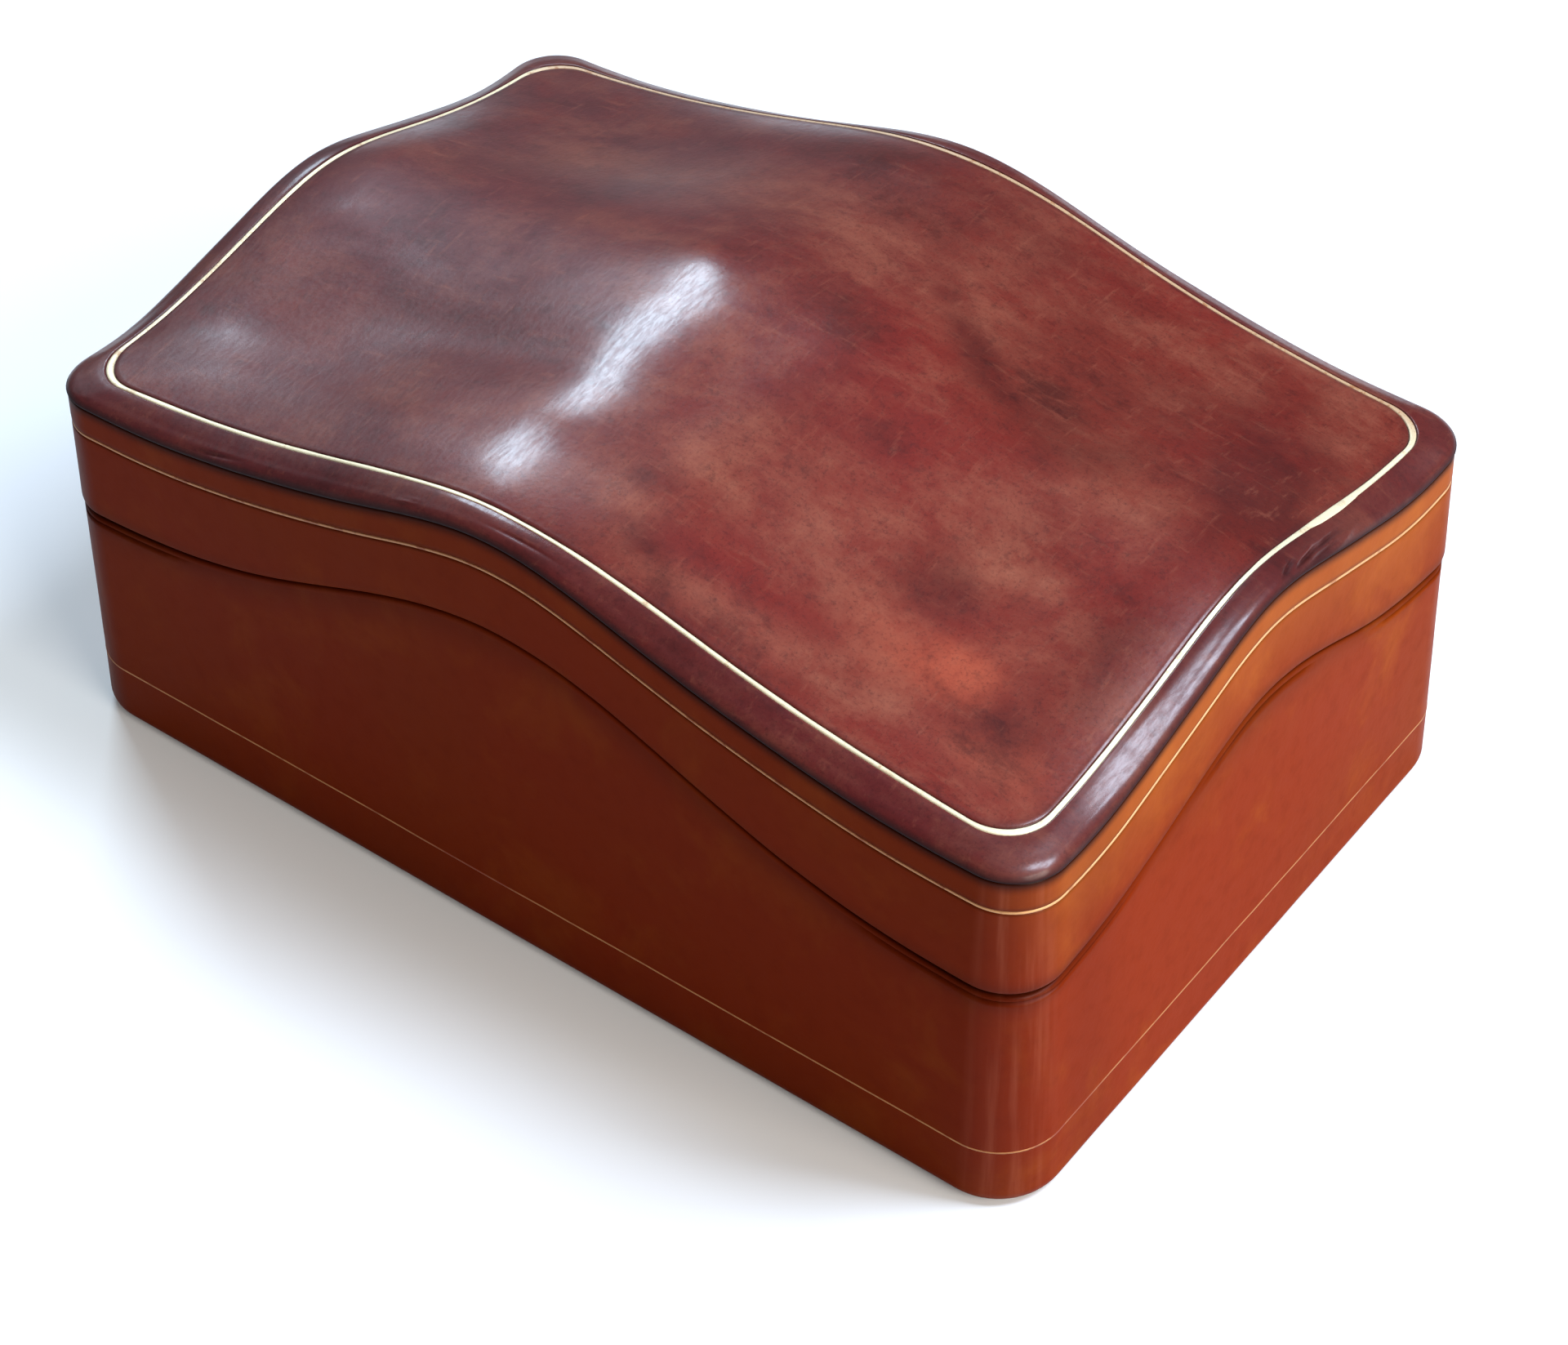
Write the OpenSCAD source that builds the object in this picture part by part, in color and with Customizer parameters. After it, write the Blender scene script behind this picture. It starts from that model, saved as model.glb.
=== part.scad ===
// Stationery box in moulded leather over a wooden carcass, with a lift-off lid.
// Long side along X, short side along Y, up is Z, origin under the middle of the box on the table.
// The rim, the parting line and the lid all swell upward at the middle of each side.

/* [Box] */
// Length of the lid over the side leather
box_length = 200; // [170:1:240]
// Width of the lid over the side leather
box_width = 132; // [112:1:160]
// Radius of the upright corners
corner_r = 9.5; // [8:0.5:12]
// Height of the parting line at the corners
parting_z = 47; // [40:0.5:60]
// Height of the gilt line on the lid's side at the corners
side_line_z = 64.2; // [62:0.2:80]
// Lean of the four sides from upright, in degrees: the foot is wider than the rim
lean = 2.4; // [0:0.2:3]

/* [Waves] */
// Rise of the parting line at the middle of a long side
part_rise_long = 20.5; // [12:0.5:24]
// Rise of the parting line at the middle of a short side
part_rise_short = 13.5; // [8:0.5:16]
// Rise of the lid's side line at the middle of a long side
lid_rise_long = 15.6; // [12:0.2:20]
// Rise of the lid's side line at the middle of a short side
lid_rise_short = 10; // [8:0.2:13]
// Rise of the lid's top edge at the middle of a long side
top_rise_long = 15.2; // [12:0.2:20]
// Rise of the lid's top edge at the middle of a short side
top_rise_short = 9.2; // [7:0.2:12]

/* [Leather] */
// Thickness of the chestnut leather on the sides
side_hide = 1.3; // [1:0.1:1.6]
// Thickness of the oxblood leather on the lid
top_hide = 1.3; // [1:0.1:1.6]
// How far the padded middle of the lid stands above the gilt line
pad_rise = 1.5; // [1:0.2:3]
// Extra padding over the four swells of the rim
swell_pad = 0.5; // [0:0.2:3]
// Width of the gilt line on top of the lid
top_line_w = 1.5; // [1:0.1:2]
// Width of the gilt line round the lid's side
side_line_w = 0.9; // [0.6:0.1:1.4]
// Width of the fine gilt line round the foot
foot_line_w = 0.5; // [0.4:0.1:1]

/* [Carcass] */
// Thickness of the wooden walls
wall_t = 5; // [4:0.2:6]
// Thickness of the bottom board
floor_t = 4; // [3:0.5:6]
// Thickness of the lining boards
lining_t = 2.8; // [2.4:0.2:3.4]
// How far the lining stands above the rim of the base to hold the lid
lip_h = 5.5; // [4:0.5:6.5]

/* [Hidden] */
$fn = 48;

// half sizes of the lid's side leather
hx = box_length / 2;
hy = box_width / 2;
// glue line between pieces of one body, and play between lid and base
glue = 0.05;
play = 0.4;
// the base stands this far inside the lid's outline
base_in = 0.3;
// insets from the lid's outline
wall_out_base = base_in + side_hide + glue;
wall_in_base = wall_out_base + wall_t;
lip_out = wall_in_base + glue;
lip_in = lip_out + lining_t;
wall_out_lid = side_hide + glue;
wall_in_lid = lip_out - play;
lining_out_lid = wall_in_lid + glue;
lining_in_lid = lip_in - glue;
// how much the wooden corners are eased behind the leather
corner_ease = 1.2;
// sideways lean per millimetre of height, counted from the side line
rate = tan(lean);
function lean_in(z) = rate * (z - side_line_z);
// heights in the foot
sole_t = 1.2;
floor_z = sole_t + glue;
floor_top = floor_z + floor_t;
foot_r = 3;
hem = 5.5;
hem_r = 4;
floor_lining_t = 0.8;
foot_line_z = 12.6;
groove = 0.3;
// turned edges at the parting line
turn = 1;
gap = 0.2;
// lid heights above the side line
step_lining = 2;
step_crease = 5.9;
step_top = 8.7;
core_gap = 0.15;
line_in = 5.8;
line_r = 8.4;
pad_w = 13;
pad_in = line_in + 0.7;
core_t = 6.6;
ceiling_t = 0.8;
// shape of each swell: shares of the first four cosines
shape_part = [1, 0.17, 0, 0];
shape_lid_long = [1, 0.22, 0.046, 0.033];
shape_lid_short = [1, 0.25, -0.03, 0.05];
shape_top_long = [1, 0.133, 0.027, -0.008];
shape_top_short = [1, 0.2, 0.02, 0.016];
// stations round the outline
n_long = 20;
n_short = 14;
n_corner = 4;
crowd = 0.35;
// inner loops of the lid as shares of the loop inside the padded edge
shares = [0.84, 0.67, 0.5, 0.33, 0.16];
wide_shares = [0.75, 0.5, 0.25];

// one swell from 0 at the corners to 1 at the middle of the side
function swell(u, k) =
  let (v = 180 * min(1, abs(u)))
  (k[0] * (1 + cos(v)) + k[1] * (cos(2 * v) - 1) + k[2] * (1 + cos(3 * v)) + k[3] * (cos(4 * v) - 1))
  / (2 * (k[0] + k[2]));
function part_at(x, y) =
  parting_z + part_rise_long * swell(x / hx, shape_part) + part_rise_short * swell(y / hy, shape_part);
function side_at(x, y) =
  side_line_z + lid_rise_long * swell(x / hx, shape_lid_long)
  + lid_rise_short * swell(y / hy, shape_lid_short);
function crest_at(x, y) =
  let (a = swell(x / hx, shape_top_long))
  side_line_z + top_rise_long * a + top_rise_short * (1 - 0.3 * a) * swell(y / hy, shape_top_short);
// side line's height above a point inside the box, taken from the nearest side
function side_near(x, y) = hy - abs(y) < hx - abs(x) ? side_at(x, hy) : side_at(hx, y);

// stations crowd toward the middle of each side, where the swell bends most
function spread(s) = s - crowd * sin(180 * s) / PI;
function side_steps(n) = [for (i = [0:n - 1]) spread(-1 + 2 * i / n)];
// outline at an inset with its own corner radius, anticlockwise from the front left
function outline(d, r) =
  let (ax = hx - d - r, ay = hy - d - r, q = 90 / n_corner)
  concat(
    [for (s = side_steps(n_long)) [s * ax, -ay - r]],
    [for (i = [0:n_corner - 1]) [ax + r * sin(q * i), -ay - r * cos(q * i)]],
    [for (s = side_steps(n_short)) [ax + r, s * ay]],
    [for (i = [0:n_corner - 1]) [ax + r * cos(q * i), ay + r * sin(q * i)]],
    [for (s = side_steps(n_long)) [-s * ax, ay + r]],
    [for (i = [0:n_corner - 1]) [-ax - r * sin(q * i), ay + r * cos(q * i)]],
    [for (s = side_steps(n_short)) [-ax - r, -s * ay]],
    [for (i = [0:n_corner - 1]) [-ax - r * cos(q * i), -ay - r * sin(q * i)]]
  );
// radius of the outline at an inset on top of the lid, which rounds more than the sides
function top_r(d) = corner_r + (line_r - corner_r) * d / line_in + 0.5 * max(0, d - line_in);
rim = outline(0, corner_r);
n = len(rim);
// outward direction at each station
outer = outline(-1, corner_r + 1);
out = [for (i = [0:n - 1]) outer[i] - rim[i]];

// padded surface of the lid over a point that lies s inside the gilt line
function pad_share(s) = let (v = max(0, min(1, s / pad_w))) v * (2 - v);
function hill(x, y) =
  let (a = swell(x / hx, shape_top_long), b = swell(y / hy, shape_top_short))
  a + b - 1.3 * a * b;
function lid_z(x, y, s) = crest_at(x, y) + step_top + (pad_rise + swell_pad * hill(x, y)) * pad_share(s);

// loops of points
function at_station(i, d, z) = let (p = rim[i] - out[i] * (d + lean_in(z))) [p[0], p[1], z];
function side_loop(d, h) = [for (i = [0:n - 1]) at_station(i, d, h)];
function height_at(x, y, kind) = kind == 0 ? part_at(x, y) : side_at(x, y);
function wave_loop(d, h, kind) =
  [for (i = [0:n - 1]) at_station(i, d, h + height_at(rim[i][0], rim[i][1], kind))];
// parting loop whose corners are square, where the turned leather meets the mitred boards
function square_station(i, d, z) =
  let (o = out[i], e = d + lean_in(z))
  let (p = rim[i] - corner_r * o + (corner_r - e) * o / max(abs(o[0]), abs(o[1])))
  [p[0], p[1], z];
function square_loop(d, h) =
  [for (i = [0:n - 1]) square_station(i, d, h + part_at(rim[i][0], rim[i][1]))];
// loops further in than the corner radius
function flat_loop(d, r, z) = [for (p = outline(d, r)) [p[0], p[1], z]];
function ceiling_loop(d, h) =
  let (o = outline(d, 0.6))
  [for (i = [0:n - 1])
    let (z = h + side_near(o[i][0], o[i][1]), p = o[i] - out[i] * lean_in(z))
    [p[0], p[1], z]];
// bead loops pass from the side line's wave to the top edge's wave
function bead_loop(d, h) =
  let (o = outline(d, top_r(d)), f = max(0, min(1, d / line_in)))
  [for (i = [0:n - 1])
    let (s = side_at(rim[i][0], rim[i][1]), p = o[i] - out[i] * (1 - f) * lean_in(s + h))
    [p[0], p[1], h + (1 - f) * s + f * crest_at(o[i][0], o[i][1])]];
function pad_loop(d, drop) =
  [for (p = outline(d, top_r(d))) [p[0], p[1], lid_z(p[0], p[1], d - pad_in) - drop]];
function share_loop(t, drop) =
  [for (p = outline(pad_in + pad_w, top_r(pad_in + pad_w)))
    [t * p[0], t * p[1], lid_z(t * p[0], t * p[1], pad_w) - drop]];

// faces between loops; a loose end is closed by a pole
function band(a, b) =
  [for (i = [0:n - 1]) each [[a + i, b + i, b + (i + 1) % n], [a + i, b + (i + 1) % n, a + (i + 1) % n]]];
// the same band split along its other diagonals, so that mating faces match
function turned_band(a, b) =
  [for (i = [0:n - 1]) each [[a + i, b + i, a + (i + 1) % n], [b + i, b + (i + 1) % n, a + (i + 1) % n]]];
function bands(m, turned) =
  [for (j = [0:m - 2]) each (j < turned ? turned_band(j * n, (j + 1) * n) : band(j * n, (j + 1) * n))];
function pole_first(p) = [for (i = [0:n - 1]) [p, i, (i + 1) % n]];
function pole_last(a, p) = [for (i = [0:n - 1]) [a + (i + 1) % n, a + i, p]];

module ring(loops, turned = 0) {
  m = len(loops);
  polyhedron(
    points = [for (l = loops) each l],
    faces = concat(bands(m, turned), band((m - 1) * n, 0)),
    convexity = 8
  );
}
module dish(low, top, first, last) {
  m = len(low) + len(top);
  polyhedron(
    points = concat([for (l = low) each l], [for (l = top) each l], [first, last]),
    faces = concat(
      bands(m, len(low) - 1),
      pole_first(m * n),
      pole_last((m - 1) * n, m * n + 1)
    ),
    convexity = 8
  );
}

// flat plan of the box at an inset
module plan(d, r) {
  ax = hx - d - r;
  ay = hy - d - r;
  square([2 * (ax + r), 2 * ay], center = true);
  square([2 * ax, 2 * (ay + r)], center = true);
  for (sx = [-1, 1]) for (sy = [-1, 1]) translate([sx * ax, sy * ay]) circle(r);
}
// plan within which the boards' outer corners stay, cut in three facets behind the rounded leather
module corner_plan(d) {
  r = corner_r - d - 0.45;
  far = 20;
  quarter = [
    [r * cos(22.5) + far * sin(22.5), r * sin(22.5) - far * cos(22.5)],
    [r * cos(33.75) / cos(11.25), r * sin(33.75) / cos(11.25)],
    [r * cos(56.25) / cos(11.25), r * sin(56.25) / cos(11.25)],
    [r * sin(22.5) - far * cos(22.5), r * cos(22.5) + far * sin(22.5)]
  ];
  at = [for (q = quarter) [q[0] + hx - corner_r, q[1] + hy - corner_r]];
  polygon(concat(
    at,
    [for (i = [3:-1:0]) [-at[i][0], at[i][1]]],
    [for (q = at) [-q[0], -q[1]]],
    [for (i = [3:-1:0]) [at[i][0], -at[i][1]]]
  ));
}
// wedge between the mitres of a front board, and of a left board
module front_wedge() {
  c = 0.8 * glue;
  polygon([[-hx - 9 + c, -hy - 9], [hx + 9 - c, -hy - 9], [hx - 30 - c, -hy + 30], [-hx + 30 + c, -hy + 30]]);
}
module left_wedge() {
  c = 0.8 * glue;
  polygon([[-hx - 9, -hy - 9 + c], [-hx + 30, -hy + 30 + c], [-hx + 30, hy - 30 - c], [-hx - 9, hy + 9 - c]]);
}
// slab between two waves, seen from the front or from the side
function xs() = concat([-hx - 1], [for (s = side_steps(n_long)) s * (hx - corner_r)], [hx - corner_r, hx + 1]);
function ys() = concat([-hy - 1], [for (s = side_steps(n_short)) s * (hy - corner_r)], [hy - corner_r, hy + 1]);
function low_at(x, y, kind, h) = kind < 0 ? h : h + height_at(x, y, kind);
module long_slab(kind0, h0, kind1, h1) {
  a = xs();
  m = len(a);
  rotate([90, 0, 0]) linear_extrude(height = 2 * hy + 4, center = true) polygon(concat(
    [for (i = [0:m - 1]) [a[i], low_at(a[i], hy, kind0, h0)]],
    [for (i = [m - 1:-1:0]) [a[i], low_at(a[i], hy, kind1, h1)]]
  ));
}
module short_slab(kind0, h0, kind1, h1) {
  a = ys();
  m = len(a);
  rotate([90, 0, 90]) linear_extrude(height = 2 * hx + 4, center = true) polygon(concat(
    [for (i = [0:m - 1]) [a[i], low_at(hx, a[i], kind0, h0)]],
    [for (i = [m - 1:-1:0]) [a[i], low_at(hx, a[i], kind1, h1)]]
  ));
}
module board_front(d0, d1, cut, kind0, h0, kind1, h1) {
  intersection() {
    translate([0, -hy, side_line_z]) rotate([-lean, 0, 0])
      translate([-hx - 10, d0, -side_line_z - 10]) cube([2 * hx + 20, d1 - d0, 2 * side_line_z + 20]);
    linear_extrude(height = 2 * side_line_z) intersection() {
      corner_plan(cut);
      front_wedge();
    }
    long_slab(kind0, h0, kind1, h1);
  }
}
module board_left(d0, d1, cut, kind0, h0, kind1, h1) {
  intersection() {
    translate([-hx, 0, side_line_z]) rotate([0, lean, 0])
      translate([d0, -hy - 10, -side_line_z - 10]) cube([d1 - d0, 2 * hy + 20, 2 * side_line_z + 20]);
    linear_extrude(height = 2 * side_line_z) intersection() {
      corner_plan(cut);
      left_wedge();
    }
    short_slab(kind0, h0, kind1, h1);
  }
}
base_cut = wall_out_base + lean_in(parting_z + part_rise_long);
lid_cut = wall_out_lid + lean_in(side_line_z + step_lining);
module base_wall_front() {
  board_front(wall_out_base, wall_in_base, base_cut, -1, floor_top + glue, 0, -gap - turn - glue);
}
module base_wall_left() {
  board_left(wall_out_base, wall_in_base, base_cut, -1, floor_top + glue, 0, -gap - turn - glue);
}
module lip_wall_front() { board_front(lip_out, lip_in, 0, -1, floor_top + glue, 0, lip_h); }
module lip_wall_left() { board_left(lip_out, lip_in, 0, -1, floor_top + glue, 0, lip_h); }
module lid_wall_front() {
  board_front(wall_out_lid, wall_in_lid, lid_cut, 0, gap + turn + glue, 1, step_lining - core_gap);
}
module lid_wall_left() {
  board_left(wall_out_lid, wall_in_lid, lid_cut, 0, gap + turn + glue, 1, step_lining - core_gap);
}
module lid_strip_front() {
  board_front(lining_out_lid, lining_in_lid, 0, 0, lip_h + 0.7, 1, step_lining - core_gap);
}
module lid_strip_left() {
  board_left(lining_out_lid, lining_in_lid, 0, 0, lip_h + 0.7, 1, step_lining - core_gap);
}

// base body
module base_underside_leather() {
  color([0.32, 0.16, 0.08]) linear_extrude(height = sole_t) plan(hem + glue, hem_r - 0.2);
}
module base_floor_board() {
  d = wall_out_base + lean_in(floor_top);
  color([0.78, 0.62, 0.42]) translate([0, 0, floor_z]) linear_extrude(height = floor_t)
    plan(d, corner_r - d + corner_ease);
}
module base_front_wall() { color([0.78, 0.62, 0.42]) base_wall_front(); }
module base_back_wall() { color([0.78, 0.62, 0.42]) mirror([0, 1, 0]) base_wall_front(); }
module base_left_wall() { color([0.78, 0.62, 0.42]) base_wall_left(); }
module base_right_wall() { color([0.78, 0.62, 0.42]) mirror([1, 0, 0]) base_wall_left(); }
// the hide is turned over the rim at the top and hemmed under the foot
module base_leather() {
  d = base_in;
  i = d + side_hide;
  color([0.55, 0.24, 0.09]) ring([
    square_loop(wall_in_base, -gap - turn),
    wave_loop(i, -gap - turn, 0),
    side_loop(i, floor_z - glue),
    flat_loop(hem, hem_r, floor_z - glue),
    flat_loop(hem, hem_r, 0),
    side_loop(d + foot_r, 0),
    side_loop(d + 0.29 * foot_r, 0.29 * foot_r),
    side_loop(d, foot_r),
    wave_loop(d, -gap - turn, 0),
    wave_loop(d + 0.3, -gap - 0.3, 0),
    wave_loop(d + 1, -gap, 0),
    square_loop(wall_in_base, -gap)
  ]);
}
module base_foot_gilt_line() {
  d = base_in + lean_in(foot_line_z + foot_line_w);
  r = corner_r - d;
  color([0.86, 0.7, 0.42]) translate([0, 0, foot_line_z - foot_line_w / 2])
    linear_extrude(height = foot_line_w) difference() {
      plan(d - 0.15, r + 0.15);
      plan(d - 0.03, r + 0.03);
    }
}
module base_floor_lining() {
  color([0.42, 0.13, 0.11]) translate([0, 0, floor_top + glue]) linear_extrude(height = floor_lining_t)
    plan(lip_in + glue + lean_in(floor_top), 0.8);
}
module lip_front() { color([0.42, 0.13, 0.11]) lip_wall_front(); }
module lip_back() { color([0.42, 0.13, 0.11]) mirror([0, 1, 0]) lip_wall_front(); }
module lip_left() { color([0.42, 0.13, 0.11]) lip_wall_left(); }
module lip_right() { color([0.42, 0.13, 0.11]) mirror([1, 0, 0]) lip_wall_left(); }

// lid body
// the side hide is turned under the lid's walls, with a groove pressed in for the gilt line
module lid_side_leather() {
  t = side_hide;
  w = side_line_w / 2;
  color([0.6, 0.27, 0.1]) ring([
    square_loop(wall_in_lid, gap + turn),
    square_loop(wall_in_lid, gap),
    wave_loop(1.1, gap, 0),
    wave_loop(0.35, gap + 0.35, 0),
    wave_loop(0, gap + 1.2, 0),
    wave_loop(0, -w, 1),
    wave_loop(groove, -w, 1),
    wave_loop(groove, w, 1),
    wave_loop(0, w, 1),
    wave_loop(0, step_crease - glue, 1),
    wave_loop(t, step_crease - glue, 1),
    wave_loop(t, gap + turn, 0)
  ]);
}
module lid_side_gilt_line() {
  w = side_line_w / 2 - 0.02;
  color([0.93, 0.78, 0.5]) ring([
    wave_loop(groove - 0.02, -w, 1),
    wave_loop(0.02, -w, 1),
    wave_loop(0.02, w, 1),
    wave_loop(groove - 0.02, w, 1)
  ]);
}
module lid_front_wall() { color([0.78, 0.62, 0.42]) lid_wall_front(); }
module lid_back_wall() { color([0.78, 0.62, 0.42]) mirror([0, 1, 0]) lid_wall_front(); }
module lid_left_wall() { color([0.78, 0.62, 0.42]) lid_wall_left(); }
module lid_right_wall() { color([0.78, 0.62, 0.42]) mirror([1, 0, 0]) lid_wall_left(); }
module lid_front_lining() { color([0.42, 0.13, 0.11]) lid_strip_front(); }
module lid_back_lining() { color([0.42, 0.13, 0.11]) mirror([0, 1, 0]) lid_strip_front(); }
module lid_left_lining() { color([0.42, 0.13, 0.11]) lid_strip_left(); }
module lid_right_lining() { color([0.42, 0.13, 0.11]) mirror([1, 0, 0]) lid_strip_left(); }

// shaped wooden top: its upper face carries the leather, its lower face is hollowed to follow
module lid_top_core() {
  o = wall_out_lid;
  q = top_hide + glue;
  c = core_t + top_hide;
  low = concat(
    [for (i = [len(wide_shares) - 1:-1:0]) share_loop(wide_shares[i], c)],
    [pad_loop(pad_in + pad_w, c), ceiling_loop(lining_in_lid, step_lining)]
  );
  top = concat(
    [
      wave_loop(o, step_lining, 1),
      wave_loop(o, step_crease + 0.3, 1),
      bead_loop(o + 1.3, 8.1 - q),
      bead_loop(line_in, step_top - groove - 0.9 - glue),
      pad_loop(12, q),
      pad_loop(pad_in + pad_w, q)
    ],
    [for (t = shares) share_loop(t, q)]
  );
  color([0.78, 0.62, 0.42])
    dish(low, top, [0, 0, lid_z(0, 0, pad_w) - c], [0, 0, lid_z(0, 0, pad_w) - q]);
}
module lid_ceiling_lining() {
  c = core_t + top_hide + core_gap;
  e = c + ceiling_t;
  d = lining_in_lid + 3 * glue;
  low = concat(
    [for (i = [len(wide_shares) - 1:-1:0]) share_loop(wide_shares[i], e)],
    [pad_loop(pad_in + pad_w, e), ceiling_loop(d, step_lining - core_gap - ceiling_t)]
  );
  top = concat(
    [ceiling_loop(d, step_lining - core_gap), pad_loop(pad_in + pad_w, c)],
    [for (t = wide_shares) share_loop(t, c)]
  );
  color([0.42, 0.13, 0.11])
    dish(low, top, [0, 0, lid_z(0, 0, pad_w) - e], [0, 0, lid_z(0, 0, pad_w) - c]);
}
// oxblood hide: a soft roll round the rim, a pressed groove, then the padded middle
bead = [[-0.1, 5.9], [-0.12, 6.35], [0.4, 6.98], [1.4, 7.55], [2.7, 8.1], [4, 8.5]];
module lid_top_leather() {
  o = wall_out_lid - glue;
  w = top_line_w / 2;
  q = top_hide;
  under = concat(
    [for (i = [len(shares) - 1:-1:0]) share_loop(shares[i], q)],
    [
      pad_loop(pad_in + pad_w, q),
      pad_loop(12, q),
      bead_loop(line_in, step_top - groove - 0.9),
      bead_loop(o + 1.3, 8.1 - q),
      wave_loop(o, step_crease + 0.3 + glue, 1),
      wave_loop(o, step_crease, 1)
    ]
  );
  roll = [for (b = bead) bead_loop(b[0], b[1])];
  tool = [
    bead_loop(line_in - w - 0.05, step_top),
    bead_loop(line_in - w, step_top - groove),
    bead_loop(line_in + w, step_top - groove),
    bead_loop(line_in + w + 0.05, step_top)
  ];
  over = concat(
    [pad_loop(8.8, 0), pad_loop(12, 0), pad_loop(pad_in + pad_w, 0)],
    [for (t = shares) share_loop(t, 0)]
  );
  color([0.36, 0.1, 0.1])
    dish(under, concat(roll, tool, over), [0, 0, lid_z(0, 0, pad_w) - q], [0, 0, lid_z(0, 0, pad_w)]);
}
module lid_top_gilt_line() {
  w = top_line_w / 2 - 0.02;
  z = step_top - groove;
  color([0.96, 0.88, 0.66]) ring([
    bead_loop(line_in + w, z + 0.03),
    bead_loop(line_in - w, z + 0.03),
    bead_loop(line_in - w, z + 0.25),
    bead_loop(line_in + w, z + 0.25)
  ], 1);
}

base_underside_leather();
base_floor_board();
base_front_wall();
base_back_wall();
base_left_wall();
base_right_wall();
base_leather();
base_foot_gilt_line();
base_floor_lining();
lip_front();
lip_back();
lip_left();
lip_right();
lid_side_leather();
lid_side_gilt_line();
lid_front_wall();
lid_back_wall();
lid_left_wall();
lid_right_wall();
lid_front_lining();
lid_back_lining();
lid_left_lining();
lid_right_lining();
lid_top_core();
lid_ceiling_lining();
lid_top_leather();
lid_top_gilt_line();
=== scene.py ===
import math

import bpy
import numpy as np
from mathutils import Matrix, Vector, noise


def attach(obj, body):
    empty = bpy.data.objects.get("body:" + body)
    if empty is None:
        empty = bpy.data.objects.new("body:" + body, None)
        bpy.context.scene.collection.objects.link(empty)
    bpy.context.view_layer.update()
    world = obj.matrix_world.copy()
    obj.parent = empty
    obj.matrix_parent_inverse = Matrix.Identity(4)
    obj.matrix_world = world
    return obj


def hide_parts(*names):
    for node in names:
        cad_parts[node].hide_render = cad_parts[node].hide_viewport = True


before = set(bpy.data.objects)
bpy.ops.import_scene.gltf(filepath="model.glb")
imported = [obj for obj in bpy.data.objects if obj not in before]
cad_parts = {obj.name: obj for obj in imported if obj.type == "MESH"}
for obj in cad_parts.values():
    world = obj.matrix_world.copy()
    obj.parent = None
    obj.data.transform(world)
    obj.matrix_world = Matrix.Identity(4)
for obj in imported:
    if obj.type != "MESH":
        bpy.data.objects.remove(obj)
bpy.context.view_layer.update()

mm = 0.001

# form of the box, in mm, as in the CAD
box = dict(halfLong=100.0, halfShort=66.0, cornerRadius=9.5, lean=2.4, partingZ=47.0, lineZ=64.2,
           partRise=(20.5, 13.5), lidRise=(15.6, 10.0), topRise=(15.2, 9.2), topFade=0.3,
           stepTop=8.7, lineInset=5.8, lineRadius=8.4, radiusGrowth=0.5,
           padInset=6.5, padWidth=13.0, padRise=1.5, swellPad=0.5, boardRadius=0.8)
# shares of four cosines in each wave
waves = dict(part=(1, 0.17, 0, 0), lidLong=(1, 0.22, 0.046, 0.033), lidShort=(1, 0.25, -0.03, 0.05),
             topLong=(1, 0.133, 0.027, -0.008), topShort=(1, 0.2, 0.02, 0.016))
stations = dict(long=96, short=64, corner=16, crowd=0.35)  # points round the rim, closer in mid side
rate = math.tan(math.radians(box["lean"]))


def swell(u, shape):  # wave of one side: 1 in its middle, 0 at its ends
    v = math.pi * np.minimum(1, np.abs(u))
    a, b, c, d = shape
    rise = a * (1 + np.cos(v)) + b * (np.cos(2 * v) - 1) + c * (1 + np.cos(3 * v)) + d * (np.cos(4 * v) - 1)
    return rise / (2 * (a + c))


def partAt(x, y):
    return (box["partingZ"] + box["partRise"][0] * swell(x / box["halfLong"], waves["part"])
            + box["partRise"][1] * swell(y / box["halfShort"], waves["part"]))


def sideAt(x, y):
    return (box["lineZ"] + box["lidRise"][0] * swell(x / box["halfLong"], waves["lidLong"])
            + box["lidRise"][1] * swell(y / box["halfShort"], waves["lidShort"]))


def topWaves(x, y):
    return swell(x / box["halfLong"], waves["topLong"]), swell(y / box["halfShort"], waves["topShort"])


def crestAt(x, y):
    a, b = topWaves(x, y)
    return box["lineZ"] + box["topRise"][0] * a + box["topRise"][1] * (1 - box["topFade"] * a) * b


def padZ(x, y, s):  # height of the padded top, s mm in from the gilt line's groove
    v = np.clip(s / box["padWidth"], 0, 1)
    a, b = topWaves(x, y)
    hill = a + b - (1 + box["topFade"]) * a * b
    return crestAt(x, y) + box["stepTop"] + (box["padRise"] + box["swellPad"] * hill) * v * (2 - v)


def leanIn(z):
    return rate * (z - box["lineZ"])


def sideSteps(n):
    s = -1 + 2 * np.arange(n) / n
    return s - stations["crowd"] * np.sin(math.pi * s) / math.pi


def outline(inset, radius):  # rounded rectangle, one point for each station, from the front left
    ax, ay = box["halfLong"] - inset - radius, box["halfShort"] - inset - radius
    long, short = sideSteps(stations["long"]), sideSteps(stations["short"])
    q = np.arange(stations["corner"]) * math.pi / 2 / stations["corner"]
    s, c = radius * np.sin(q), radius * np.cos(q)
    runs = [(long * ax, 0 * long - ay - radius), (ax + s, -ay - c), (0 * short + ax + radius, short * ay),
            (ax + c, ay + s), (-long * ax, 0 * long + ay + radius), (-ax - s, ay + c),
            (0 * short - ax - radius, -short * ay), (-ax - c, -ay - s)]
    return np.concatenate([np.column_stack(r) for r in runs])


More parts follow.
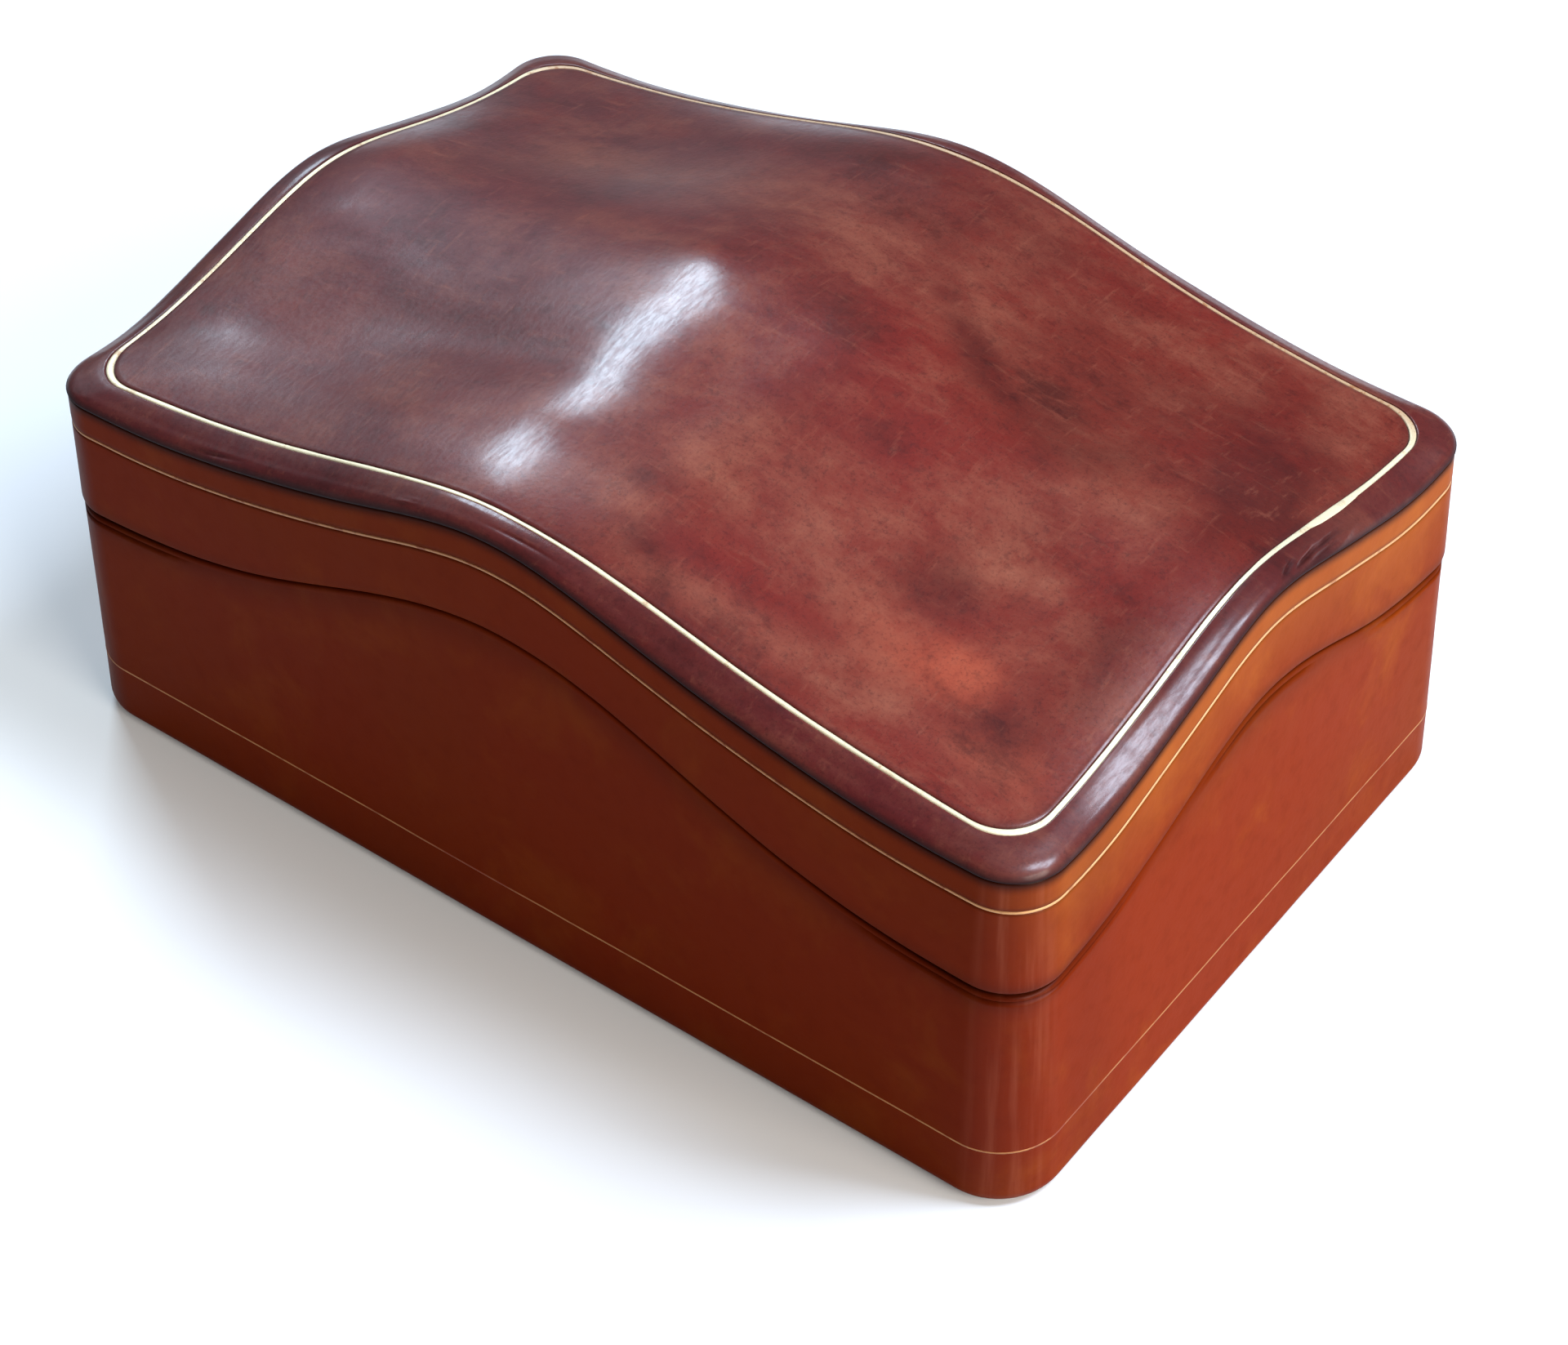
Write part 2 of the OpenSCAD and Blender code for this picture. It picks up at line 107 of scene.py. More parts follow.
rim = outline(0, box["cornerRadius"])
outward = outline(-1, box["cornerRadius"] + 1) - rim
stationCount = len(rim)
partZ = partAt(rim[:, 0], rim[:, 1])
sideZ = sideAt(rim[:, 0], rim[:, 1])
steps = np.linalg.norm(np.roll(rim, -1, 0) - rim, axis=1)
around = np.concatenate([[0], np.cumsum(steps)[:-1]])  # distance round the rim from the front left
facing = dict(front=np.clip(-outward[:, 1], 0, 1), back=np.clip(outward[:, 1], 0, 1),
              left=np.clip(-outward[:, 0], 0, 1))


def nearPlace(place, reach):  # 1 at a distance round the rim, fading over its reach
    return np.exp(-((around - place) / reach) ** 2)


# painted shade round the rim: on the front, left and back faces, by the near corner and in the parting gap;
# the tan strip is toned down on the shaded front. Places are distances round it
rimShading = dict(leftShade=0.8, backShade=0.4, cornerShade=0.45, corner=(203, 9), frontTan=0.85,
              cornerReach=34, rightParting=0.7, right=(252, 20))
# painted shade: darkest on the front face, then the left, the near corner and the back
shadeMark = (facing["front"] + rimShading["leftShade"] * facing["left"] + rimShading["backShade"] * facing["back"]
             + rimShading["cornerShade"] * nearPlace(*rimShading["corner"]))
# painted shade: the tan strip keeps little of its tan on the front face
tanSide = 1 - rimShading["frontTan"] * facing["front"]
# painted highlight: pale vertical streaks at the corners stand in for reflected light; the same mark gives
# the corners a little real coat gloss
cornerSheenMark = 2 * np.abs(outward[:, 0] * outward[:, 1])
# painted shade in the parting gap, strongest at the corners and along the right; the base rim also sits
# lower where it is strong
fromCorner = (np.abs(rim[:, 0]) - box["halfLong"]) ** 2 + (np.abs(rim[:, 1]) - box["halfShort"]) ** 2
partingMark = (np.exp(-fromCorner / rimShading["cornerReach"] ** 2)
               + rimShading["rightParting"] * nearPlace(*rimShading["right"]))

# hand-worked unevenness: height, size and seed of each ripple
ripples = dict(side=[(0.16, 34, 2.3), (0.05, 9, 5.1)], top=[(0.2, 30, 8.2), (0.05, 11, 1.4)],
               floor=[(0.06, 18, 3.3)])
# broad swellings and hollows of the top: x, y, half length, half width, rise
hollows = [(-2.7, -49, 19.4, 10.3, -0.78), (-6.7, -34.3, 10.9, 27.3, 0.96), (-30.6, -28.6, 30.4, 6.8, -0.64),
           (-11.4, 2.4, 8.1, 6.4, 0.55), (10.4, -5.4, 8.3, 30, -0.4), (-74, -40, 16, 8, -0.4),
           (-60, -20, 20, 12, 0.6)]
# larger patches in the lid's dye and polish: x, y, half length, half width, turn in degrees, strength
patches = dict(
    warm=[(70, -39, 7, 5, 20, 1), (60, -42, 10, 5, -8, 0.45), (84, -50, 8, 5, 0, 0.35)],
    deep=[(55, 8, 15, 9, -15, 0.7), (58, -29, 7, 4, 0, 0.75), (86, -24, 5, 10, 0, 0.8),
          (78, -44, 6, 5, 0, 0.6), (35, 14, 14, 3, -35, 0.8), (88, 16, 8, 13, 0, 0.75),
          (20, -52, 4, 3, 0, 0.5), (12, -42, 3, 2.5, 0, 0.7), (-48, 20, 26, 12, 20, 0.5),
          (-86, -48, 14, 10, 0, 0.35), (20, 50, 40, 8, 0, 0.4), (80, 36, 14, 14, 0, 0.45),
          (45, 32, 30, 14, 0, 0.35), (90, 8, 8, 16, 0, 0.6), (80, 24, 10, 12, 0, 0.6)],
    tawny=[(-62, -34, 9, 6, 30, 0.35), (-34, -44, 16, 4, 5, 0.4), (-52, 26, 14, 6, 0, 0.5),
           (16, -35, 9, 7, 10, 0.8), (13, -48, 6, 5, 0, 0.8), (40, -26, 16, 6, -10, 0.6),
           (30, -54, 16, 3, 8, 0.7), (66, -22, 9, 4, 25, 0.7), (82, -52, 9, 4, 0, 0.5),
           (48, 12, 22, 6, -20, 0.45), (72, 2, 10, 9, 0, 0.4), (50, -53, 15, 3.5, 4, 0.55),
           (-20, 30, 34, 10, 8, 0.5), (22, 30, 18, 8, 0, 0.3)],
    red=[(-70, -36, 12, 8, 20, 0.6), (-56, 12, 14, 8, 0, 0.5), (42, -8, 10, 6, 0, 0.9),
         (29, -44, 11, 4.5, -5, 1), (45, -47, 11, 4, 0, 1), (70, -28, 6, 5, 0, 0.7),
         (33, 10, 12, 5, -25, 0.7), (88, 12, 9, 16, 0, 1), (-10, -38, 12, 6, 0, 0.5),
         (-28, 10, 16, 7, 0, 0.5)],
    dull=[(-64, 0, 16, 13, 0, 1), (-66, -11, 22, 10, 0, 0.9), (-36, -14, 12, 7, 0, 0.6),
          (-46, 2, 12, 12, 0, 0.5), (-84, 6, 10, 18, 0, 0.6), (84, 16, 14, 18, 0, 1),
          (-5.5, -41.5, 9, 4.5, -5, 1)])
patchEdge = dict(size=7, seed=6.1, drift=0.5)  # how the patches' edges wander


def ripple(points, size, seed):  # slow noise from -1 to 1
    return np.array([noise.noise(Vector(p) / size + Vector((seed, 3.7 * seed, -seed))) for p in points])


def rippled(points, kind):
    return sum(height * ripple(points, size, seed) for height, size, seed in ripples[kind])


def topWave(points):
    flat = np.column_stack([points[:, :2], np.zeros(len(points))])
    wave = rippled(flat, "top")
    for x, y, long, wide, rise in hollows:
        wave += rise * np.exp(-((flat[:, 0] - x) / long) ** 2 - ((flat[:, 1] - y) / wide) ** 2)
    return wave


def patchMark(ring, spots):
    mark = np.zeros(len(ring))
    drift = ripple(ring * np.array([1, 1, 0]), patchEdge["size"], patchEdge["seed"])
    for x, y, long, wide, turn, strength in spots:
        c, s = math.cos(math.radians(turn)), math.sin(math.radians(turn))
        u = ((ring[:, 0] - x) * c + (ring[:, 1] - y) * s) / long
        v = ((ring[:, 1] - y) * c - (ring[:, 0] - x) * s) / wide
        u, v = u + patchEdge["drift"] * drift, v + patchEdge["drift"] * drift[::-1]
        mark += strength * np.exp(-u * u - v * v)
    return np.clip(mark, 0, 1)


def sideRing(inset, z, wave=1.0):  # ring on the leaning sides
    z = np.broadcast_to(np.asarray(z, float), (stationCount,))
    p = rim - outward * (inset + leanIn(z))[:, None]
    ring = np.column_stack([p, z])
    if wave:
        ring[:, :2] += outward * (wave * rippled(ring, "side"))[:, None]
    return ring


def topRadius(inset):
    return (box["cornerRadius"] + (box["lineRadius"] - box["cornerRadius"]) * inset / box["lineInset"]
            + box["radiusGrowth"] * max(0, inset - box["lineInset"]))


def rollRing(inset, height):  # from the side line's wave at the crease to the crest's wave at the gilt line
    o = outline(inset, topRadius(inset))
    f = min(1, max(0, inset / box["lineInset"]))
    p = o - outward * ((1 - f) * leanIn(sideZ + height))[:, None]
    ring = np.column_stack([p, height + (1 - f) * sideZ + f * crestAt(o[:, 0], o[:, 1])])
    ring[:, :2] += outward * ((1 - f) * rippled(ring, "side"))[:, None]
    ring[:, 2] += f * topWave(ring)
    return ring


def padRing(inset, share=1.0, drop=0.0):  # ring on the padded top, or drop mm under it
    p = share * outline(inset, topRadius(inset))
    ring = np.column_stack([p, padZ(p[:, 0], p[:, 1], inset - box["padInset"]) - drop])
    if not drop:
        ring[:, 2] += topWave(ring)
    return ring


def nearRing(inset, rise, ofSide):  # ring inside the walls, riding on a side's wave
    o = outline(inset, box["boardRadius"])
    x, y = o[:, 0], o[:, 1]
    onLong = box["halfShort"] - np.abs(y) < box["halfLong"] - np.abs(x)
    z = rise + np.where(onLong, ofSide(x, box["halfShort"]), ofSide(box["halfLong"], y))
    return np.column_stack([o - outward * leanIn(z)[:, None], z])


def levelRing(inset, z):
    o = outline(inset, box["boardRadius"]) - outward * leanIn(z)
    return np.column_stack([o, np.full(stationCount, z)])


def curve(points, n):  # smooth run through section points
    p = np.array(points, float)
    p = np.vstack([2 * p[0] - p[1], p, 2 * p[-1] - p[-2]])
    out = []
    for i in range(1, len(p) - 2):
        for t in np.arange(n) / n:
            a, b, c, d = p[i - 1:i + 3]
            out.append(0.5 * (2 * b + (c - a) * t + (2 * a - 5 * b + 4 * c - d) * t * t
                              + (3 * b - a - 3 * c + d) * t ** 3))
    out.append(p[-2])
    return np.array(out)


def loft(name, rings, body, stands, material, marks=None, pole=False):
    n, m = stationCount, len(rings)
    verts = np.concatenate(rings)
    faces = []
    for j in range(m - 1):
        a, b = j * n, (j + 1) * n
        faces += [(a + i, a + (i + 1) % n, b + (i + 1) % n, b + i) for i in range(n)]
    if pole:
        verts = np.vstack([verts, rings[-1].mean(0)])
        faces += [((m - 1) * n + i, (m - 1) * n + (i + 1) % n, m * n) for i in range(n)]
    mesh = bpy.data.meshes.new(name)
    mesh.from_pydata((verts * mm).tolist(), [], faces)
    for key, values in (marks or {}).items():
        flat = np.concatenate([np.broadcast_to(v, (n,)) for v in values])
        if pole:
            flat = np.append(flat, flat[-n:].mean())
        layer = mesh.attributes.new(key, "FLOAT", "POINT")
        layer.data.foreach_set("value", flat.astype(np.float32))
    mesh.polygons.foreach_set("use_smooth", [True] * len(mesh.polygons))
    mesh.update()
    mesh.materials.append(material)
    piece = bpy.data.objects.new(name, mesh)
    bpy.context.scene.collection.objects.link(piece)
    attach(piece, body)
    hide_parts(*stands)
    print("made", name, len(mesh.vertices), "points")


# shader maths
class Value:
    def __init__(self, shader, socket):
        self.shader, self.socket = shader, socket

    def math(self, operation, *terms):
        return self.shader.node("Math", {"operation": operation}, dict(enumerate(terms)))

    def __add__(self, other):
        return self.math("ADD", self, other)

    def __sub__(self, other):
        return self.math("SUBTRACT", self, other)

    def __rsub__(self, other):
        return self.math("SUBTRACT", other, self)

    def __mul__(self, other):
        return self.math("MULTIPLY", self, other)

    __radd__, __rmul__ = __add__, __mul__

    def clamp(self):
        return self.shader.node("Clamp", {}, {0: self})

    def step(self, low, high):
        return self.shader.node("MapRange", {"interpolation_type": "SMOOTHSTEP"}, {0: self, 1: low, 2: high})


class Shader:
    def __init__(self, name, **constants):
        self.material = bpy.data.materials.new(name)
        self.material.use_nodes = True
        self.tree = self.material.node_tree
        self.main = self.tree.nodes["Principled BSDF"]
        for key, value in constants.items():
            self.main.inputs[key.replace("_", " ")].default_value = value

    def node(self, kind, settings, sockets, out=0):
        made = self.tree.nodes.new("ShaderNode" + kind)
        for key, value in settings.items():
            setattr(made, key, value)
        for key, value in sockets.items():
            self.put(made.inputs[key], value)
        return Value(self, made.outputs[out])

    def put(self, socket, value):
        if isinstance(value, Value):
            self.tree.links.new(value.socket, socket)
        elif isinstance(value, tuple) and len(value) == 3 and socket.type == "RGBA":
            socket.default_value = (*value, 1)
        else:
            socket.default_value = value

    def mix(self, factor, low, high):
        return self.node("Mix", {"data_type": "RGBA"}, {0: factor, 6: low, 7: high}, 2)

    def place(self, scale=(1, 1, 1), turn=(0, 0, 0)):
        coords = self.node("TexCoord", {}, {}, "Object")
        return self.node("Mapping", {}, {"Vector": coords, "Scale": scale, "Rotation": turn})

    def noise(self, size, detail, rough, vector=None, distortion=0.0):
        return self.node("TexNoise", {}, {"Vector": vector or self.place(), "Scale": 1 / (size * mm),
                                          "Detail": detail, "Roughness": rough, "Distortion": distortion})

    def mark(self, name):
        return self.node("Attribute", {"attribute_name": name}, {}, "Fac")

    def bump(self, height, depth, normal=None):
        sockets = {"Height": height, "Strength": 1.0, "Distance": depth * mm}
        if normal:
            sockets["Normal"] = normal
        return self.node("Bump", {}, sockets)

    def shine(self, weight):
        self.put(self.main.inputs["Coat Weight"], weight)

    def finish(self, colour, roughness, normal=None, metallic=None):
        self.put(self.main.inputs["Base Color"], colour)
        self.put(self.main.inputs["Roughness"], roughness)
        if metallic:
            self.put(self.main.inputs["Metallic"], metallic)
        if normal:
            self.put(self.main.inputs["Normal"], normal)
        return self.material


def leatherRelief(s, pore, grain, crease):  # depths in mm
    fine = s.noise(0.55, 3, 0.6)
    cells = s.node("TexVoronoi", {"feature": "SMOOTH_F1"},
                   {"Vector": s.place(), "Scale": 1 / (0.9 * mm), "Randomness": 1.0})
    creases = s.noise(2.2, 4, 0.62, distortion=0.6)
    n = s.bump(fine, pore)
    n = s.bump(cells, grain, n)
    return s.bump(creases, crease, n)


# the cool colour is painted shade with a bluish reflected cast, laid over the left half of the top and the
# roll; the crease colour is painted shade in creases and folds
oxblood = dict(
    deep=(0.033, 0.004, 0.004), main=(0.14, 0.019, 0.012), red=(0.15, 0.013, 0.009),
    warm=(0.42, 0.085, 0.04), tawny=(0.27, 0.082, 0.048), coolShade=(0.062, 0.012, 0.016),
    crease=(0.014, 0.002, 0.003),
    coatRoughness=0.19, specular=0.18, dabs=0.34, fibre=0.22, grain=0.42, dullLoss=0.85,
    pore=0.016, grainDepth=0.018, creaseDepth=0.022)


def oxbloodLeather():
    tone = oxblood
    s = Shader("oxblood_leather", Coat_Roughness=tone["coatRoughness"], Specular_IOR_Level=tone["specular"])
    wide = s.noise(40, 4, 0.6, distortion=0.4)
    mid = s.noise(11, 9, 0.74, distortion=0.2)
    blot = s.noise(20, 9, 0.72, s.place(scale=(0.75, 1.15, 1)), distortion=0.2)
    dabs = s.noise(2.6, 7, 0.74)
    grain = s.noise(0.55, 4, 0.75)
    across = s.noise(1.5, 5, 0.68, s.place(scale=(1, 0.12, 1), turn=(0, 0, 0.75)))
    along = s.noise(2.0, 6, 0.7, s.place(scale=(0.14, 1, 1), turn=(0, 0, 0.1)))
    coolShade, deep = s.mark("coolShade"), s.mark("deep")

    tint = s.mix(wide.step(0.38, 0.64), tone["main"], tone["red"])
    # painted shade with a bluish reflected cast: the left half and the roll are made darker and cooler
    tint = s.mix(coolShade * 0.8, tint, tone["coolShade"])
    tawny = (blot.step(0.43, 0.67) * 0.55 + s.mark("tawny") * (0.1 + mid)).clamp()
    tint = s.mix(tawny * (1 - 0.55 * coolShade) * (1 - 0.7 * deep), tint, tone["tawny"])
    red = (s.mark("red") * (0.05 + mid) + (1 - mid.step(0.34, 0.5)) * 0.4).clamp()
    tint = s.mix(red * (1 - 0.4 * coolShade), tint, tone["red"])
    tint = s.mix((s.mark("warm") * (0.1 + 1.4 * dabs)).clamp() * 0.75, tint, tone["warm"])
    tint = s.mix((deep * (0.1 + mid) + (1 - blot.step(0.32, 0.46)) * 0.45).clamp(), tint, tone["deep"])
    tint = s.mix(dabs.step(0.52, 0.68) * tone["dabs"], tint, tone["deep"])
    for streaks in (across, along):
        tint = s.mix(streaks.step(0.56, 0.72) * tone["fibre"], tint, tone["tawny"])
    tint = s.mix(grain.step(0.5, 0.7) * tone["grain"], tint, tone["deep"])
    # painted shade in the crease under the roll and in the folds; the same mark also darkens the gilt
    # groove, the pad's edge and the roll
    tint = s.mix(s.mark("dark"), tint, tone["crease"])

    rubbed = s.noise(0.7, 4, 0.7, s.place(scale=(1, 0.2, 1), turn=(0, 0, -0.5)))
    polish = (0.2 + 0.42 * rubbed.step(0.3, 0.7) + 0.1 * along) * (1 - tone["dullLoss"] * s.mark("dull"))
    s.shine(polish * (1 - s.mark("dark")))
    rough = 0.25 + 0.12 * dabs + 0.1 * mid + 0.12 * s.mark("dull") + 0.35 * s.mark("dark")
    return s.finish(tint, rough, leatherRelief(s, tone["pore"], tone["grainDepth"], tone["creaseDepth"]))


# the colour of the corner streaks is a painted highlight; the crease colour is painted shade in creases,
# gaps and under the hide; the deep colour also serves as painted shade on the shaded faces
chestnut = dict(
    deep=(0.085, 0.005, 0.0005), main=(0.215, 0.026, 0.001), warm=(0.31, 0.062, 0.005),
    red=(0.225, 0.022, 0.0015), tan=(0.5, 0.15, 0.024), cornerSheen=(0.36, 0.1, 0.05), crease=(0.02, 0.003, 0.001),
    coatRoughness=0.32, specular=0.02, blotch=0.6, speck=0.16, shade=0.55, cornerSheenStrength=0.32,
    pore=0.012, grainDepth=0.015, creaseDepth=0.014)


def chestnutLeather():
    tone = chestnut
    s = Shader("chestnut_leather", Coat_Roughness=tone["coatRoughness"], Specular_IOR_Level=tone["specular"])
    wide = s.noise(70, 3, 0.5, distortion=0.4)
    mid = s.noise(18, 5, 0.6, distortion=0.4)
    small = s.noise(3.5, 4, 0.6)
    streak = s.noise(2.4, 4, 0.55, s.place(scale=(1, 1, 0.035)))
    tint = s.mix(wide.step(0.35, 0.68), tone["main"], tone["red"])
    tint = s.mix(mid.step(0.48, 0.76) * tone["blotch"], tint, tone["warm"])
    tint = s.mix(small.step(0.45, 0.75) * tone["speck"], tint, tone["deep"])
    tint = s.mix((s.mark("tan") * (0.4 + 1.2 * mid)).clamp(), tint, tone["tan"])
    tint = s.mix(s.mark("shade") * tone["shade"], tint, tone["deep"])
    # painted highlight: pale vertical streaks at the corners, as reflected light; the corners also get a
    # little real coat gloss two lines down
    tint = s.mix(s.mark("cornerSheen") * streak.step(0.45, 0.75) * tone["cornerSheenStrength"], tint, tone["cornerSheen"])
    # painted shade: the dark mark turns the colour to the crease colour in creases, gaps and under the hide,
    # and darkens the gilt groove
    tint = s.mix(s.mark("dark"), tint, tone["crease"])
    s.shine(s.mark("cornerSheen") * (0.05 + 0.14 * streak))
    rough = 0.36 + 0.14 * small + 0.06 * mid
    return s.finish(tint, rough, leatherRelief(s, tone["pore"], tone["grainDepth"], tone["creaseDepth"]))


# leaf, what shows through where it is worn and where shade is painted, wear all over, wear and painted shade
# at the marked places
golds = dict(gold_leaf=((0.86, 0.75, 0.5), (0.34, 0.15, 0.06), 0.06, 0.75),
             fine_gold_leaf=((0.72, 0.38, 0.16), (0.3, 0.08, 0.022), 0.1, 0.6),
             foot_gold_leaf=((0.46, 0.19, 0.06), (0.24, 0.035, 0.006), 0.14, 0.95))


def goldLeaf(name):
    leaf, wearAndShade, wear, rubbed = golds[name]
    s = Shader(name, Specular_IOR_Level=0.5)
    patch = s.noise(4, 4, 0.6)
    speck = s.noise(0.7, 3, 0.6)
    lost = patch.step(0.62 - wear, 0.8 - wear) * 0.7 + speck.step(0.55, 0.75) * 0.35
    # the marked places are real wear on the foot line, painted shade on the side line's front, and a dimmer
    # back and left on the top line
    lost = (lost + s.mark("wearAndShade") * rubbed).clamp()
    return s.finish(s.mix(lost, leaf, wearAndShade), 0.38 + 0.2 * patch, s.bump(speck, 0.04), (1 - lost) * 0.35)


wood = dict(pale=(0.55, 0.36, 0.2), dark=(0.4, 0.24, 0.12), grainSize=2.2, grainDepth=0.05)


def bareWood():
    s = Shader("bare_wood", Specular_IOR_Level=0.3)
    grain = s.noise(wood["grainSize"], 5, 0.6, s.place(scale=(0.12, 1, 1)))
    tint = s.mix(grain.step(0.35, 0.7), wood["pale"], wood["dark"])
    return s.finish(tint, 0.6 + 0.1 * grain, s.bump(grain, wood["grainDepth"]))


napped = dict(dark=(0.15, 0.05, 0.028), pale=(0.23, 0.085, 0.045), pit=(0.09, 0.03, 0.018),
              napSize=0.8, napDepth=0.08)


def liningLeather():
    s = Shader("lining_leather", Specular_IOR_Level=0.25, Sheen_Weight=0.25, Sheen_Roughness=0.5)
    nap = s.noise(napped["napSize"], 4, 0.65)
    wide = s.noise(24, 4, 0.6, distortion=0.5)
    tint = s.mix(wide.step(0.35, 0.7), napped["dark"], napped["pale"])
    tint = s.mix(nap.step(0.4, 0.7) * 0.4, tint, napped["pit"])
    return s.finish(tint, 0.72 + 0.12 * nap, s.bump(nap, napped["napDepth"]))


sole = dict(dark=(0.1, 0.04, 0.02), pale=(0.16, 0.07, 0.035), napSize=1.1, napDepth=0.1)


def soleLeather():
    s = Shader("sole_leather", Specular_IOR_Level=0.25)
    nap = s.noise(sole["napSize"], 4, 0.65)
    wide = s.noise(30, 4, 0.6)
    tint = s.mix(wide.step(0.35, 0.7), sole["dark"], sole["pale"])
    return s.finish(tint, 0.7 + 0.15 * nap, s.bump(nap, sole["napDepth"]))


finish = dict(top=oxbloodLeather(), side=chestnutLeather(), lining=liningLeather(), sole=soleLeather(),
              wood=bareWood(), gold=goldLeaf("gold_leaf"), fineGold=goldLeaf("fine_gold_leaf"),
              footGold=goldLeaf("foot_gold_leaf"))
print("materials", len(finish))


def finishOf(name):  # for the pieces that stay as in the CAD
    if "wall" in name or "board" in name or "core" in name:
        return finish["wood"]
    if name == "base_underside_leather":
        return finish["sole"]
    if "lining" in name or "lip" in name:
        return finish["lining"]
    if "gilt" in name:
        return finish["gold"]
    return finish["side"]


for name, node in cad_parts.items():
    node.data.materials.clear()
    node.data.materials.append(finishOf(name))


class Hide:  # rings of a hide, each with how dark it is made (mostly painted shade) and how tan it is
    def __init__(self):
        self.rings, self.dark, self.tan = [], [], []

    def add(self, ring, dark=0, tan=0):
        self.rings.append(ring)
        self.dark.append(dark)
        self.tan.append(tan)

    def loft(self, name, body, stands):
        count = len(self.rings)
        marks = {"dark": self.dark, "tan": self.tan,
                 "shade": [shadeMark] * count, "cornerSheen": [cornerSheenMark] * count}
        loft(name, self.rings, body, stands, finish["side"], marks)


# base side hide: sections are insets and heights, the foot's from the floor, the rim's from the parting line
# the darks here are painted shade: under the hem, at the foot by the floor, at the wall's top by the parting
# gap, deeper in the rim's gap, and a painted shadow band under the lid's edge on the front and right
baseHide = dict(
    foot=[(5.5, 0), (3.6, 0), (2.6, 0.12), (1.4, 0.72), (0.65, 1.6), (0.32, 2.6), (0.3, 3.6)],
    hemRadius=4.0, hemTop=1.15, hemDark=0.3, footDark=0.25, footReach=3,
    inset=0.3, wallRings=30, wallTop=1.25, rimDark=(0.06, 0.3), rimReach=2.5, bandDark=(0.22, 0.3),
    bandReach=4,
    rim=[(0.3, -1.2), (0.36, -0.8), (0.55, -0.45), (1.0, -0.24), (2.2, -0.16), (6.6, -0.16)],
    rimRise=0.1, gapDeeper=0.5, wavyUpTo=1.2, rimShade=(0.25, 0.5), gapShare=0.55, innerDark=(0.9, 0.3),
    rimDarkest=0.75)


def baseSideHide():
    s, hide = baseHide, Hide()
    hemInset, hemFoot = s["foot"][0]
    for z in (s["hemTop"], hemFoot):
        hem = np.column_stack([outline(hemInset, s["hemRadius"]), np.full(stationCount, float(z))])
        hide.add(hem, s["hemDark"])
    for inset, z in curve(s["foot"], 4)[1:]:
        share = min(1, z / s["footReach"])
        hide.add(sideRing(inset, z, share), s["footDark"] * (1 - share))
    low, top = s["foot"][-1][1], partZ - s["wallTop"]
    plainDark, gapDark = s["rimDark"]
    frontDark, rightDark = s["bandDark"]
    for t in np.linspace(0, 1, s["wallRings"])[1:]:
        z = low + t * (top - low)
        # painted shadow under the lid's edge, on the front and on the right
        band = frontDark * facing["front"] + rightDark * nearPlace(*rimShading["right"])
        hide.add(sideRing(s["inset"], z),
                 (plainDark + gapDark * partingMark) * np.clip(1 - (top - z) / s["rimReach"], 0, 1)
                 + band * np.exp(-((top - z) / s["bandReach"]) ** 2))
    # painted shade, darker further into the parting gap
    gap = 1 - s["gapShare"] + s["gapShare"] * partingMark
    plainDark, insetDark = s["rimShade"]
    innerFrom, innerDark = s["innerDark"]
    for inset, h in curve(s["rim"], 4)[1:]:
        z = partZ + h + s["rimRise"] - s["gapDeeper"] * partingMark
        dark = (plainDark + insetDark * inset) * gap + innerDark * (inset > innerFrom)
        hide.add(sideRing(inset, z, 1 if inset < s["wavyUpTo"] else 0), np.minimum(s["rimDarkest"], dark))
    hide.loft("base_side_hide", "base", ["base_leather"])


baseSideHide()

# linings: insets and heights from the parting line or the side line, levels from the floor
lip = dict(outer=6.75, inner=9.5, foot=5.3, outerHeights=(-20, 0, 2, 4), innerHeights=(4, 2, 0, -8, -20),
           innerLevels=(20, 12, 6.2),
           edge=[(6.75, 4.6), (6.8, 5.1), (7.2, 5.45), (8.1, 5.52), (9.0, 5.45), (9.42, 5.1), (9.5, 4.6)])
floorSheet = dict(edge=[(9.6, 5.4), (9.62, 5.9), (9.9, 6.1)], rings=26)
lidInner = dict(outer=6.4, outerHeights=(8, 6.5), inner=9.45, low=6.9, high=1.7, shares=(0, 0.33, 0.66, 1),
                edge=[(6.5, 6.28), (7.0, 6.2), (8.9, 6.2), (9.35, 6.3), (9.45, 6.7)])
ceiling = dict(edge=[(9.6, 1.5), (9.7, 1.12), (10.4, 1.05)], drop=8.85, slopeRings=8, rings=26)


def lipLining():
    rings = [levelRing(lip["outer"], lip["foot"])]
    rings += [nearRing(lip["outer"], h, partAt) for h in lip["outerHeights"]]
    rings += [nearRing(inset, h, partAt) for inset, h in curve(lip["edge"], 3)]
    rings += [nearRing(lip["inner"], h, partAt) for h in lip["innerHeights"]]
    rings += [levelRing(lip["inner"], z) for z in lip["innerLevels"]]
    stands = ["lip_front", "lip_back", "lip_left", "lip_right"]
    loft("lip_lining", rings, "base", stands, finish["lining"])


def floorLining():
    rings = [levelRing(inset, z) for inset, z in floorSheet["edge"]]
    edge = rings[-1]
    for share in np.linspace(1, 0, floorSheet["rings"])[1:-1]:
        ring = edge * np.array([share, share, 1])
        ring[:, 2] += rippled(ring, "floor")
        rings.append(ring)
    loft("floor_lining", rings, "base", ["base_floor_lining"], finish["lining"], pole=True)


